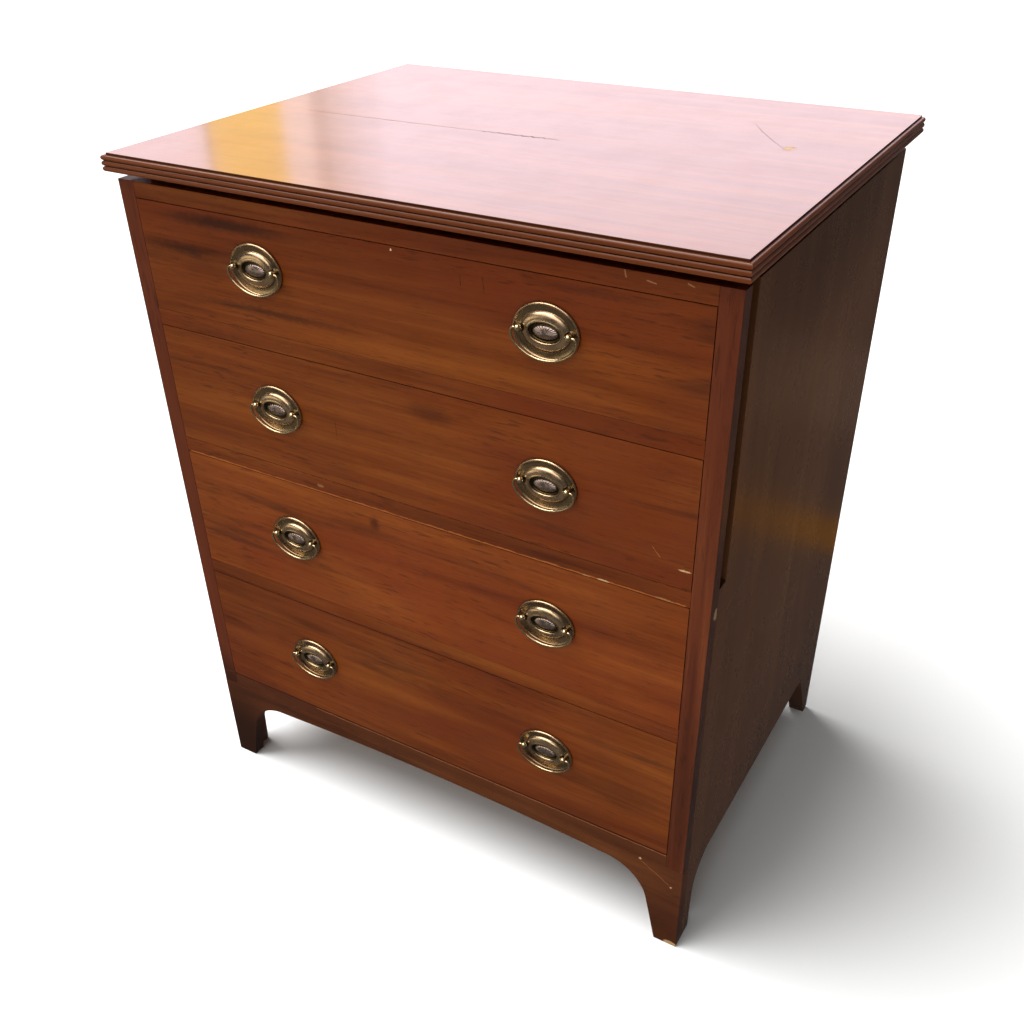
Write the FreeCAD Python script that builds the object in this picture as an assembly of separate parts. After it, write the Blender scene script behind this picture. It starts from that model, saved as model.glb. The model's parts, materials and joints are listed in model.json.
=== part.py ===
import FreeCAD
import Part
import math
import os

# A small mahogany chest of four graduated drawers, in millimetres.
# While it is modelled, x runs across from the middle, y runs back from the drawer fronts
# and z runs up from the floor. Left and right are as seen by someone facing the drawers.

# Carcass
carcass_width = 650.0
carcass_depth = 463.0
side_thickness = 20.0
facing_thickness = 15.5
open_joint = 15.5
drawer_openings = (113.0, 133.0, 147.0, 163.0)
rail_height = 18.0
rail_depth = 60.0
top_rail_height = 16.0
housing_depth = 6.0
housing_set_back = 5.0
dovetail_length = 12.0
dovetail_neck = 18.0
dovetail_flare = 3.0
back_thickness = 9.0
back_rebate = 10.0
back_board_count = 3

# Base with bracket feet
base_height = 124.0
foot_toe = 27.0
foot_taper = 12.4
foot_curve = 55.0
apron_web = 20.0
apron_rise = 7.0
side_web = 28.0
front_side_toe = 34.0
front_side_taper = 2.5
front_side_curve = 45.0
rear_side_toe = 13.0
rear_side_taper = 27.0
rear_side_curve = 28.0
foot_block_width = 13.0
foot_block_depth = 19.0
foot_block_height = 48.0

# Top board and the bearers under it
reed_count = 3
reed_height = 5.2
reed_depth = 2.2
quirk_height = 1.9
quirk_set_back = 1.9
top_overhang_front = 10.0
top_overhang_side = 6.5
top_overhang_back = 37.0
bearer_height = 8.0
bearer_width = 30.0
bearer_set_in = 14.0
bearer_set_back = 27.0

# Runners, kickers and stops
runner_width = 14.0
runner_height = 16.0
stop_length = 40.0
stop_depth = 12.0
stop_height = 5.0
stop_offset = 150.0
stop_gap = 0.3

# Drawers
drawer_back_gap = 18.0
drawer_lift = 0.3
drawer_top_gap = 0.6
drawer_side_gap = 0.6
front_thickness = 20.0
front_lap = 4.0
drawer_side_thickness = 9.0
drawer_side_drop = 4.0
drawer_back_thickness = 9.0
drawer_bottom_thickness = 6.0
drawer_bottom_lift = 9.0
drawer_groove = 4.0
tail_pitch = 36.0
tail_share = 0.6
tail_slope = 6.0

# Handles
handle_offset = 158.0
handle_rises = (8.0, 2.5, 3.0, 3.0)
plate_half_width = 32.0
plate_half_height = 25.5
plate_thickness = 1.2
bead_width = 2.6
bead_rise = 1.5
bead_steps = 3
cove_width = 5.8
dome_width = 8.4
dome_rise = 3.8
dome_steps = 4
well_width = 1.5
boss_width = 2.5
boss_rise = 2.4
boss_steps = 2
post_spacing = 48.0
post_rise = 1.0
post_pad_radius = 3.7
post_pad_height = 1.6
post_collar_radius = 3.2
post_collar_height = 0.8
post_neck_radius = 1.9
ball_radius = 3.3
ball_stand_off = 6.2
shank_radius = 2.0
shank_clearance = 0.2
shank_end = 3.0
nut_width = 8.0
nut_thickness = 3.5
bail_wire_radius = 1.15
bail_pin_clearance = 0.07
bail_end_gap = 0.4
bail_drop = 24.6
bail_shoulder = 3.6
bail_haunch = 14.5

# Levels and edges that follow from the sizes above
half_width = carcass_width / 2
inner_half = half_width - side_thickness
carcass_height = base_height + len(drawer_openings) * rail_height + sum(drawer_openings) + top_rail_height
opening_tops = [
    carcass_height - top_rail_height - sum(drawer_openings[:row]) - row * rail_height
    for row in range(len(drawer_openings))
]
opening_bottoms = [top - height for top, height in zip(opening_tops, drawer_openings)]
facing_break = opening_bottoms[1]
joint_back = facing_thickness + open_joint
housing_front = joint_back + housing_set_back
back_face = carcass_depth - back_thickness
apron_arch = base_height - apron_web
side_arch = base_height - side_web
top_thickness = reed_count * reed_height + quirk_height
top_underside = carcass_height + bearer_height
drawer_half = inner_half - drawer_side_gap
drawer_depth = back_face - drawer_back_gap
post_half = post_spacing / 2
bail_half_width = post_half + ball_radius + bail_end_gap + bail_shoulder
shank_reach = front_thickness + nut_thickness + shank_end
front_reach = max(ball_stand_off + ball_radius, top_overhang_front)
to_origin = FreeCAD.Vector(0, (front_reach - carcass_depth - top_overhang_back) / 2, 0)


def vector(x, y, z):
    return FreeCAD.Vector(x, y, z)


def box(x_low, x_high, y_low, y_high, z_low, z_high):
    corner = vector(x_low, y_low, z_low)
    return Part.makeBox(x_high - x_low, y_high - y_low, z_high - z_low, corner)


def mirrored(shape):
    return shape.mirror(vector(0, 0, 0), vector(1, 0, 0))


def both_sides(shape):
    return [mirrored(shape), shape]


def outline(start, steps):
    """A closed face: each step is an end point, or a point on an arc and its end point."""
    edges = []
    here = start
    for step in steps:
        if len(step) == 1:
            edges.append(Part.LineSegment(here, step[0]).toShape())
        else:
            edges.append(Part.Arc(here, step[0], step[1]).toShape())
        here = step[-1]
    return Part.Face(Part.Wire(edges))


def cut_all(shape, tools):
    for tool in tools:
        shape = shape.cut(tool)
    return shape


def save(name, solids):
    shape = Part.makeCompound(solids) if len(solids) > 1 else solids[0].copy()
    shape.translate(to_origin)
    shape.exportStep("parts/" + name + ".step")


# Rails and boards that join the two sides

def rail(z_low):
    """A drawer rail with a stub tenon at each end, housed in the side boards."""
    bar = box(-inner_half, inner_half, 0, rail_depth, z_low, z_low + rail_height)
    reach = inner_half + housing_depth
    tenons = box(-reach, reach, housing_front, rail_depth, z_low, z_low + rail_height)
    return bar.fuse(tenons).removeSplitter()


def dovetail_pair(y_middle):
    """Dovetails at both ends of a top rail, wider at the tip than at the neck."""
    neck = dovetail_neck / 2
    tip = neck + dovetail_flare
    z_low = carcass_height - top_rail_height
    corners = [
        vector(inner_half, y_middle - neck, z_low),
        vector(inner_half + dovetail_length, y_middle - tip, z_low),
        vector(inner_half + dovetail_length, y_middle + tip, z_low),
        vector(inner_half, y_middle + neck, z_low),
    ]
    face = outline(corners[0], [(corners[1],), (corners[2],), (corners[3],), (corners[0],)])
    return both_sides(face.extrude(vector(0, 0, top_rail_height)))


def top_rail(y_low, y_high, tails):
    bar = box(-inner_half, inner_half, y_low, y_high, carcass_height - top_rail_height, carcass_height)
    return bar.fuse(tails).removeSplitter()


def bottom_board():
    z_low = base_height
    z_high = base_height + rail_height
    board = box(-inner_half, inner_half, facing_thickness, back_face, z_low, z_high)
    reach = inner_half + housing_depth
    tongues = box(-reach, reach, housing_front, back_face, z_low, z_high)
    return board.fuse(tongues).removeSplitter()


# Sides, facings and base

def foot_edge(toe, taper, curve, arch):
    """Inner edge of a foot, from its outer edge: toe, end of the taper, then an arc to the arch."""
    lean = math.radians(taper)
    half_turn = (lean + math.pi / 2) / 2
    centre_z = arch - curve
    taper_z = centre_z + curve * math.sin(lean)
    taper_end = toe + taper_z * math.tan(lean)
    centre = taper_end + curve * math.cos(lean)
    on_arc = (centre - curve * math.cos(half_turn), centre_z + curve * math.sin(half_turn))
    return [(toe, 0), (taper_end, taper_z), on_arc, (centre, arch)]


def side_face(front_above):
    """Outline of a side board: feet with an arch between them, and its two front edges."""
    front_below = facing_thickness

    def at(y, z):
        return vector(inner_half, y, z)

    front_edge = foot_edge(front_side_toe, front_side_taper, front_side_curve, side_arch)
    rear_edge = foot_edge(rear_side_toe, rear_side_taper, rear_side_curve, side_arch)
    front = [at(depth, z) for depth, z in front_edge]
    rear = [at(carcass_depth - depth, z) for depth, z in rear_edge]
    steps = [
        (front[0],),
        (front[1],),
        (front[2], front[3]),
        (rear[3],),
        (rear[2], rear[1]),
        (rear[0],),
        (at(carcass_depth, 0),),
        (at(carcass_depth, carcass_height),),
        (at(front_above, carcass_height),),
    ]
    if front_above > front_below:
        steps.append((at(front_above, facing_break),))
        steps.append((at(front_below, facing_break),))
    steps.append((at(front_below, 0),))
    return outline(at(front_below, 0), steps)


def side_board(front_above, joinery):
    board = side_face(front_above).extrude(vector(side_thickness, 0, 0))
    rebate = box(inner_half, inner_half + back_rebate, back_face, carcass_depth, base_height, carcass_height)
    return cut_all(board, [rebate] + joinery)


def facings():
    lower = box(inner_half, half_width, 0, facing_thickness, base_height, facing_break)
    upper = box(inner_half, half_width, 0, facing_thickness, facing_break, carcass_height)
    return [lower, upper]


def apron():
    """The front of the base: a bracket foot at each end and a bowed lower edge between them."""

    def at(x, z):
        return vector(x, 0, z)

    edge = foot_edge(foot_toe, foot_taper, foot_curve, apron_arch)
    left = [at(width - half_width, z) for width, z in edge]
    right = [at(half_width - width, z) for width, z in edge]
    steps = [
        (left[0],),
        (left[1],),
        (left[2], left[3]),
        (at(0, apron_arch + apron_rise), right[3]),
        (right[2], right[1]),
        (right[0],),
        (at(half_width, 0),),
        (at(half_width, base_height),),
        (at(-half_width, base_height),),
        (at(-half_width, 0),),
    ]
    return outline(at(-half_width, 0), steps).extrude(vector(0, facing_thickness, 0))


def foot_blocks():
    x_low = inner_half - foot_block_width
    z_low = base_height - foot_block_height
    front = box(x_low, inner_half, facing_thickness, facing_thickness + foot_block_depth, z_low, base_height)
    rear = box(x_low, inner_half, back_face - foot_block_depth, back_face, z_low, base_height)
    return both_sides(front) + both_sides(rear)


def back_boards():
    height = (carcass_height - base_height) / back_board_count
    reach = inner_half + back_rebate
    boards = []
    for row in range(back_board_count):
        z_low = base_height + row * height
        boards.append(box(-reach, reach, back_face, carcass_depth, z_low, z_low + height))
    return boards


# Top board

def reeded_face(edge, far_edge, point):
    """Section of the top: reeds and a quirk climb one edge, and the far edge is square."""
    top = top_underside + top_thickness
    start = point(edge + reed_depth, top_underside)
    steps = []
    for reed in range(reed_count):
        z_low = top_underside + reed * reed_height
        nose = point(edge, z_low + reed_height / 2)
        steps.append((nose, point(edge + reed_depth, z_low + reed_height)))
    quirk = edge + reed_depth + quirk_set_back
    steps += [
        (point(quirk, top - quirk_height),),
        (point(quirk, top),),
        (point(far_edge, top),),
        (point(far_edge, top_underside),),
        (start,),
    ]
    return outline(start, steps)


def top_board():
    """Reeded slabs across the front and along the two ends meet in mitred corners."""
    front = -top_overhang_front
    back = carcass_depth + top_overhang_back
    end = half_width + top_overhang_side
    across = reeded_face(front, back, lambda y, z: vector(-end, y, z))
    along = reeded_face(-end, end, lambda x, z: vector(x, front, z))
    front_slab = across.extrude(vector(2 * end, 0, 0))
    left_slab = along.extrude(vector(0, back - front, 0))
    return front_slab.common(left_slab).common(mirrored(left_slab))


def top_bearers():
    x_out = half_width - bearer_set_in
    x_in = x_out - bearer_width
    y_front = bearer_set_back + bearer_width
    y_back = back_face - bearer_width
    front = box(-x_out, x_out, bearer_set_back, y_front, carcass_height, top_underside)
    back = box(-x_out, x_out, y_back, back_face, carcass_height, top_underside)
    end = box(x_in, x_out, y_front, y_back, carcass_height, top_underside)
    return [front, back] + both_sides(end)


# Runners, kickers and stops

def drawer_runners():
    runners = []
    for z_top in opening_bottoms[:-1]:
        strip = box(inner_half - runner_width, inner_half, rail_depth, back_face,
                    z_top - runner_height, z_top)
        runners += both_sides(strip)
    return runners


def drawer_kickers():
    strip = box(inner_half - runner_width, inner_half, rail_depth, back_face - rail_depth,
                carcass_height - top_rail_height, carcass_height)
    return both_sides(strip)


def drawer_stops():
    stops = []
    y_low = front_thickness + stop_gap
    for z_low in opening_bottoms:
        block = box(stop_offset - stop_length / 2, stop_offset + stop_length / 2,
                    y_low, y_low + stop_depth, z_low, z_low + stop_height)
        stops += both_sides(block)
    return stops


# Drawers

def tails(z_low, z_high, y_base, y_tip):
    """Corner points of evenly spaced dovetails that run from a base line out to their tips."""
    count = max(1, round((z_high - z_low) / tail_pitch))
    pitch = (z_high - z_low) / count
    flare = abs(y_tip - y_base) / tail_slope
    points = []
    for row in range(count):
        middle = z_low + (row + 0.5) * pitch
        half_base = pitch * tail_share / 2
        points += [
            (y_base, middle - half_base),
            (y_tip, middle - half_base - flare),
            (y_tip, middle + half_base + flare),
            (y_base, middle + half_base),
        ]
    return points


def drawer_side(z_low, z_high, z_panel):
    """The right side of a drawer, with tails into its front and through its back."""
    front_base = front_thickness
    back_base = drawer_depth - drawer_back_thickness
    points = [(front_base, z_low)]
    points += tails(z_low, z_high, front_base, front_lap)
    points += [(front_base, z_high), (back_base, z_high)]
    points += reversed(tails(z_panel, z_high, back_base, drawer_depth))
    points += [(back_base, z_panel), (drawer_depth, z_panel), (drawer_depth, z_low)]
    corners = [vector(drawer_half - drawer_side_thickness, y, z) for y, z in points]
    steps = [(corner,) for corner in corners[1:] + corners[:1]]
    return outline(corners[0], steps).extrude(vector(drawer_side_thickness, 0, 0))


def drawer_box(row):
    z_low = opening_bottoms[row] + drawer_lift
    z_high = opening_tops[row] - drawer_top_gap
    z_side = z_high - drawer_side_drop
    z_panel = z_low + drawer_bottom_lift
    z_floor = z_panel + drawer_bottom_thickness
    inside = drawer_half - drawer_side_thickness
    panel = box(-inside - drawer_groove, inside + drawer_groove, front_thickness - drawer_groove,
                drawer_depth, z_panel, z_floor)
    right = drawer_side(z_low, z_side, z_floor).cut(panel)
    left = mirrored(right)
    front = box(-drawer_half, drawer_half, 0, front_thickness, z_low, z_high)
    back = box(-drawer_half, drawer_half, drawer_depth - drawer_back_thickness, drawer_depth, z_floor, z_side)
    return {
        "front": cut_all(front, [left, right, panel] + shank_holes(row)),
        "left_side": left,
        "right_side": right,
        "back": cut_all(back, [left, right]),
        "bottom": panel,
    }


# Handles

def handle_height(row):
    z_low = opening_bottoms[row] + drawer_lift
    z_high = opening_tops[row] - drawer_top_gap
    return (z_low + z_high) / 2 + handle_rises[row]


def handle_centres(row):
    return [vector(side * handle_offset, 0, handle_height(row)) for side in (-1, 1)]


def post_centres(row):
    places = [vector(side * post_half, 0, post_rise) for side in (-1, 1)]
    return [centre + place for centre in handle_centres(row) for place in places]


def shank_holes(row):
    inward = vector(0, 1, 0)
    radius = shank_radius + shank_clearance
    return [Part.makeCylinder(radius, front_thickness, centre, inward) for centre in post_centres(row)]


def swell(start, width, rise, steps, turn):
    """Insets and heights across a rounded ring or edge that rises from the sheet of the plate."""
    rounds = [turn * step / steps for step in range(steps + 1)]
    span = 1 - math.cos(turn)
    return [
        (start + width * (1 - math.cos(angle)) / span, plate_thickness + rise * math.sin(angle))
        for angle in rounds
    ]


def oval(inset, height):
    """An oval wire, a given way in from the rim of the plate and up from its back."""
    ellipse = Part.Ellipse(vector(0, 0, 0), plate_half_width - inset, plate_half_height - inset)
    wire = Part.Wire(ellipse.toShape())
    wire.rotate(vector(0, 0, 0), vector(1, 0, 0), 90)
    wire.translate(vector(0, -height, 0))
    return wire


def plate():
    """An oval plate: beaded rim, cove, domed ring, and a well with a boss in it."""
    dome_start = bead_width + cove_width
    boss_start = dome_start + dome_width + well_width
    sections = [(0, 0)]
    sections += swell(0, bead_width, bead_rise, bead_steps, math.pi)
    sections += swell(dome_start, dome_width, dome_rise, dome_steps, math.pi)
    sections += swell(boss_start, boss_width, boss_rise, boss_steps, math.pi / 2)
    body = Part.makeLoft([oval(inset, height) for inset, height in sections], True, True)
    outward = vector(0, -1, 0)
    for side in (-1, 1):
        place = vector(side * post_half, 0, post_rise)
        pad = Part.makeCylinder(post_pad_radius, post_pad_height, place, outward)
        clear = Part.makeCylinder(post_pad_radius, dome_rise, place + outward * post_pad_height, outward)
        hole = Part.makeCylinder(shank_radius + shank_clearance, post_pad_height, place, outward)
        body = body.fuse(pad).cut(clear).cut(hole)
    return body


def post():
    """A turned post: shank through the drawer front, collar on the plate, neck and ball."""
    ball_join = math.sqrt(ball_radius ** 2 - post_neck_radius ** 2)
    collar_top = post_pad_height + post_collar_height

    def at(radius, height):
        return vector(radius, -height, 0)

    steps = [
        (at(shank_radius, -shank_reach),),
        (at(shank_radius, post_pad_height),),
        (at(post_collar_radius, post_pad_height),),
        (at(post_collar_radius, collar_top),),
        (at(post_neck_radius, collar_top),),
        (at(post_neck_radius, ball_stand_off - ball_join),),
        (at(ball_radius, ball_stand_off), at(0, ball_stand_off + ball_radius)),
        (at(0, -shank_reach),),
    ]
    turned = outline(at(0, -shank_reach), steps).revolve(vector(0, 0, 0), vector(0, 1, 0), 360)
    bore_start = vector(-ball_radius, -ball_stand_off, 0)
    bore = Part.makeCylinder(bail_wire_radius + bail_pin_clearance, 2 * ball_radius, bore_start,
                             vector(1, 0, 0))
    return turned.cut(bore)


def nut():
    half = nut_width / 2
    block = box(-half, half, front_thickness, front_thickness + nut_thickness, -half, half)
    hole = Part.makeCylinder(shank_radius + shank_clearance, nut_thickness, vector(0, front_thickness, 0),
                             vector(0, 1, 0))
    return block.cut(hole)


def bail():
    """A wire bail: pins that turn in the balls, rounded shoulders and a low oval loop."""
    pin_end = post_half - ball_radius
    shoulder_x = bail_half_width - bail_shoulder
    haunch_x = bail_half_width - bail_haunch
    loop_drop = bail_drop - bail_shoulder
    loop_radius = (loop_drop ** 2 + haunch_x ** 2 - bail_haunch ** 2) / (2 * (loop_drop - bail_haunch))
    lean = math.degrees(math.atan2(haunch_x, loop_radius - loop_drop))
    inward = vector(0, -1, 0)

    def at(x, z):
        return vector(-x, -ball_stand_off, post_rise + z)

    pin_start = at(pin_end, 0)
    section = Part.Face(Part.Wire(Part.makeCircle(bail_wire_radius, pin_start, vector(1, 0, 0))))
    pin = section.extrude(at(shoulder_x, 0) - pin_start)
    section.translate(at(shoulder_x, 0) - pin_start)
    bends = [
        (at(shoulder_x, -bail_shoulder), 90),
        (at(haunch_x, -bail_shoulder), 90 - lean),
        (at(0, loop_radius - bail_drop), lean),
    ]
    runs = []
    for centre, turn in bends:
        runs.append(section.revolve(centre, inward, turn))
        section.rotate(centre, inward, turn)
    half = pin.fuse(runs)
    return half.fuse(mirrored(half)).removeSplitter()


def moved(shape, place):
    copy = shape.copy()
    copy.translate(place)
    return copy


# Build the carcass

os.makedirs("parts", exist_ok=True)

front_tails = dovetail_pair((housing_front + rail_depth) / 2)
back_tails = dovetail_pair(back_face - rail_depth / 2)
rails = {
    "upper_drawer_rail": rail(opening_bottoms[0] - rail_height),
    "middle_drawer_rail": rail(opening_bottoms[1] - rail_height),
    "lower_drawer_rail": rail(opening_bottoms[2] - rail_height),
}
base_board = bottom_board()
joinery = front_tails + back_tails + list(rails.values()) + [base_board]

save("top_board", [top_board()])
save("top_bearers", top_bearers())
save("left_side", [mirrored(side_board(facing_thickness, joinery))])
save("right_side", [side_board(joint_back, joinery)])
save("left_facings", [mirrored(strip) for strip in facings()])
save("right_facings", facings())
save("top_front_rail", [top_rail(0, rail_depth, front_tails)])
save("top_back_rail", [top_rail(back_face - rail_depth, back_face, back_tails)])
for name, bar in rails.items():
    save(name, [bar])
save("bottom_rail", [box(-inner_half, inner_half, 0, facing_thickness, base_height, base_height + rail_height)])
save("bottom_board", [base_board])
save("apron", [apron()])
save("foot_blocks", foot_blocks())
save("back_boards", back_boards())
save("drawer_runners", drawer_runners())
save("drawer_kickers", drawer_kickers())
save("drawer_stops", drawer_stops())

# Build the drawers and their handles

plate_shape = plate()
post_shape = post()
nut_shape = nut()
bail_shape = bail()
for row in range(len(drawer_openings)):
    drawer = "drawer_" + str(row + 1) + "_"
    for piece, shape in drawer_box(row).items():
        save(drawer + piece, [shape])
    left_handle, right_handle = handle_centres(row)
    save(drawer + "plates", [moved(plate_shape, left_handle), moved(plate_shape, right_handle)])
    save(drawer + "posts", [moved(post_shape, place) for place in post_centres(row)])
    save(drawer + "nuts", [moved(nut_shape, place) for place in post_centres(row)])
    save(drawer + "left_bail", [moved(bail_shape, left_handle)])
    save(drawer + "right_bail", [moved(bail_shape, right_handle)])
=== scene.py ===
import bmesh
import bpy
import json
import math
from collections import namedtuple
from mathutils import Matrix, Vector

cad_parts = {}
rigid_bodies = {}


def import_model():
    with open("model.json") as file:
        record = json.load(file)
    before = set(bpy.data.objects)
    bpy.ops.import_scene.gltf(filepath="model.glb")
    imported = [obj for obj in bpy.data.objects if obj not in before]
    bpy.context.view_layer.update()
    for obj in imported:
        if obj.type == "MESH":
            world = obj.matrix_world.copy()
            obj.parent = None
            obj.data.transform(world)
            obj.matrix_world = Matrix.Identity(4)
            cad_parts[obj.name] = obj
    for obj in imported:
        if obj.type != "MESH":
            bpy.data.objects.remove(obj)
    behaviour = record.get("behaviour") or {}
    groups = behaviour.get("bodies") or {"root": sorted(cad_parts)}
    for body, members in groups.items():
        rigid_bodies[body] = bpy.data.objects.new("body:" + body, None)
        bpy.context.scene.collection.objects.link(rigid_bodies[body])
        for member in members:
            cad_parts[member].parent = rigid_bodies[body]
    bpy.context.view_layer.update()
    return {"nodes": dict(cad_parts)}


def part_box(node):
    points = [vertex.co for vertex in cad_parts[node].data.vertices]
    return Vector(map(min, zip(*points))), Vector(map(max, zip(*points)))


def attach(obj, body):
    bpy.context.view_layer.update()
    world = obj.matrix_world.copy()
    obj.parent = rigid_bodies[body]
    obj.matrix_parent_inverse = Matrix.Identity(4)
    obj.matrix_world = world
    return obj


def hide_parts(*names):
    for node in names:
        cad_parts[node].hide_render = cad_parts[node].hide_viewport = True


# The looks of a small mahogany chest of four drawers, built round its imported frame, in metres.
# Left and right are as seen by someone facing the drawers, who stands on the -Y side.

for leftover in list(bpy.data.objects):
    bpy.data.objects.remove(leftover)
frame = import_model()

MM = 0.001
DRAWERS = (1, 2, 3, 4)
CARCASS_HALF = 325.0 * MM
FRONT_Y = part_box("drawer_1_front")[0][1]
TOP_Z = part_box("top_board")[1][2]
LOWEST_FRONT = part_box("drawer_4_front")[0][2]
SQUARE = ((-1, -1), (1, -1), (1, 1), (-1, 1))


# Objects

def add_object(name, data):
    thing = bpy.data.objects.new(name, data)
    bpy.context.scene.collection.objects.link(thing)
    return thing


def add_piece(name, mesh, body, material):
    mesh.materials.append(material)
    piece = add_object(name, mesh)
    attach(piece, body)
    return piece


def mesh_of(shell, name):
    """The mesh of a finished bmesh, which is freed."""
    mesh = bpy.data.meshes.new(name)
    shell.to_mesh(mesh)
    shell.free()
    return mesh


# Node helpers

def linear(code):
    """A colour written as six hex digits, in linear light."""
    shares = [int(code[i:i + 2], 16) / 255 for i in (0, 2, 4)]
    return tuple(s / 12.92 if s <= 0.04045 else ((s + 0.055) / 1.055) ** 2.4 for s in shares)


class Graph:
    """The node tree of one material, with a short call for each kind of node used here."""

    HOLLOW_SAMPLES = 6

    def __init__(self, name):
        self.material = bpy.data.materials.new(name)
        self.material.use_nodes = True
        self.tree = self.material.node_tree
        self.tree.nodes.clear()
        self.shader = self.node("ShaderNodeBsdfPrincipled")
        output = self.node("ShaderNodeOutputMaterial")
        self.tree.links.new(self.shader.outputs["BSDF"], output.inputs["Surface"])
        self.place = self.node("ShaderNodeTexCoord").outputs["Object"]

    def node(self, kind, **settings):
        node = self.tree.nodes.new(kind)
        for key, value in settings.items():
            setattr(node, key, value)
        return node

    def feed(self, socket, value):
        if isinstance(value, bpy.types.NodeSocket):
            self.tree.links.new(value, socket)
        elif isinstance(value, tuple) and len(value) == 3 and socket.type == "RGBA":
            socket.default_value = (*value, 1.0)
        else:
            socket.default_value = value

    def set(self, **values):
        """Feeds the shader's sockets, named in lower case with underscores."""
        for key, value in values.items():
            self.feed(self.shader.inputs[key.replace("_", " ").title().replace("Ior", "IOR")], value)

    def math(self, operation, *values, clamp=False):
        node = self.node("ShaderNodeMath", operation=operation, use_clamp=clamp)
        for socket, value in zip(node.inputs, values):
            self.feed(socket, value)
        return node.outputs[0]

    def vector_math(self, operation, first, second=(0.0, 0.0, 0.0)):
        node = self.node("ShaderNodeVectorMath", operation=operation)
        self.feed(node.inputs[0], first)
        self.feed(node.inputs["Scale" if operation == "SCALE" else 1], second)
        return node.outputs["Value" if operation in ("LENGTH", "DISTANCE", "DOT_PRODUCT") else "Vector"]

    def along(self, axis):
        node = self.node("ShaderNodeSeparateXYZ")
        self.feed(node.inputs[0], self.place)
        return node.outputs[axis]

    def attribute(self, name):
        return self.node("ShaderNodeAttribute", attribute_name=name).outputs["Fac"]

    def stretched(self, scale, shift=(0.0, 0.0, 0.0)):
        node = self.node("ShaderNodeMapping")
        self.feed(node.inputs["Vector"], self.place)
        node.inputs["Location"].default_value = shift
        node.inputs["Scale"].default_value = scale
        return node.outputs["Vector"]

    def noise(self, vector, detail, roughness, distortion=0.0, output="Fac"):
        node = self.node("ShaderNodeTexNoise")
        self.feed(node.inputs["Vector"], vector)
        node.inputs["Scale"].default_value = 1.0
        node.inputs["Detail"].default_value = detail
        node.inputs["Roughness"].default_value = roughness
        node.inputs["Distortion"].default_value = distortion
        return node.outputs[output]

    def speckle(self, scale, detail, roughness, output="Fac"):
        """Noise of the same scale all ways, in cells per metre."""
        return self.noise(self.stretched((scale, scale, scale)), detail, roughness, output=output)

    def fade(self, value, start, end, low=0.0, high=1.0):
        """A smooth step from low, where value is start, to high, where it is end."""
        node = self.node("ShaderNodeMapRange", interpolation_type="SMOOTHSTEP")
        for socket, number in zip(node.inputs, (value, start, end, low, high)):
            self.feed(socket, number)
        return node.outputs[0]

    def ramp(self, factor, stops):
        node = self.node("ShaderNodeValToRGB")
        elements = node.color_ramp.elements
        elements.remove(elements[1])
        elements[0].position = stops[0][0]
        elements[0].color = (*stops[0][1], 1.0)
        for position, colour in stops[1:]:
            elements.new(position).color = (*colour, 1.0)
        self.feed(node.inputs["Fac"], factor)
        return node.outputs["Color"]

    def mix(self, factor, first, second, blend="MIX"):
        node = self.node("ShaderNodeMix", data_type="RGBA", blend_type=blend)
        self.feed(node.inputs["Factor"], factor)
        self.feed(node.inputs[6], first)
        self.feed(node.inputs[7], second)
        return node.outputs[2]

    def bump(self, height, strength, distance, normal=None):
        node = self.node("ShaderNodeBump")
        node.inputs["Strength"].default_value = strength
        node.inputs["Distance"].default_value = distance
        self.feed(node.inputs["Height"], height)
        if normal is not None:
            self.feed(node.inputs["Normal"], normal)
        return node.outputs["Normal"]

    def hollows(self, distance):
        """0 in the open, rising to 1 in corners and hollows."""
        node = self.node("ShaderNodeAmbientOcclusion", samples=self.HOLLOW_SAMPLES)
        node.inputs["Distance"].default_value = distance
        return self.math("SUBTRACT", 1.0, node.outputs["AO"], clamp=True)

    def ragged_place(self, size, fineness, push):
        """Points of the piece, each pushed off a little so that marks get ragged edges.

        The size is in metres. Fineness is how many waves fit in it, and push is how far points may move
        as a share of it.
        """
        wobble = self.speckle(fineness / size, 3.0, 0.6, output="Color")
        centred = self.vector_math("SUBTRACT", wobble, (0.5, 0.5, 0.5))
        return self.vector_math("ADD", self.place, self.vector_math("SCALE", centred, size * push))

    def oval_reach(self, place, centre, half_size):
        """Distance from an oval's centre, where 1 is its edge."""
        offset = self.vector_math("DIVIDE", self.vector_math("SUBTRACT", place, centre), half_size)
        return self.vector_math("LENGTH", offset)

    def line_distance(self, place, start, end):
        """Distance in metres from the line between two points."""
        run = Vector(end) - Vector(start)
        offset = self.vector_math("SUBTRACT", place, tuple(start))
        along = self.vector_math("DOT_PRODUCT", offset, tuple(run / run.length_squared))
        along = self.math("MAXIMUM", self.math("MINIMUM", along, 1.0), 0.0)
        node = self.node("ShaderNodeCombineXYZ")
        for socket, share in zip(node.inputs, run):
            self.feed(socket, self.math("MULTIPLY", along, share))
        return self.vector_math("DISTANCE", offset, node.outputs[0])


# Marks of age, and painted shade and highlights

RAGGED_STAIN_AND_SHADE = (1.0, 1.0)
RAGGED_CHIP = (0.9, 1.6)
RAGGED_SCRATCH_AND_HIGHLIGHT = (0.12, 3.0)
STAIN_AND_SHADE_CORE = 0.1
CHIP_CORE = 0.75
CHIP_RAGGED = 1.5 * MM
CHIP_GRAIN = (700.0, 700.0, 900.0)
CHIP_SHADE = 0.62
SCRATCH_AND_HIGHLIGHT_EDGE = 0.5
SCRATCH_AND_HIGHLIGHT_CORE = 0.15
BELOW_FADE = 0.3 * MM
OUTER_FADE = (0.5 * MM, 0.2 * MM)
LINE_FADE = 0.15 * MM


def on_front(x, z, behind=0.0):
    """A point on the plane of the drawer fronts or behind it, from millimetres across, up and back."""
    return (x * MM, FRONT_Y + behind * MM, z * MM)


# Each mark is a function that returns a painter. A painter takes a graph and a colour, and gives back
# the marked colour and how deep the mark goes, from 0 to 1, or None.

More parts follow.
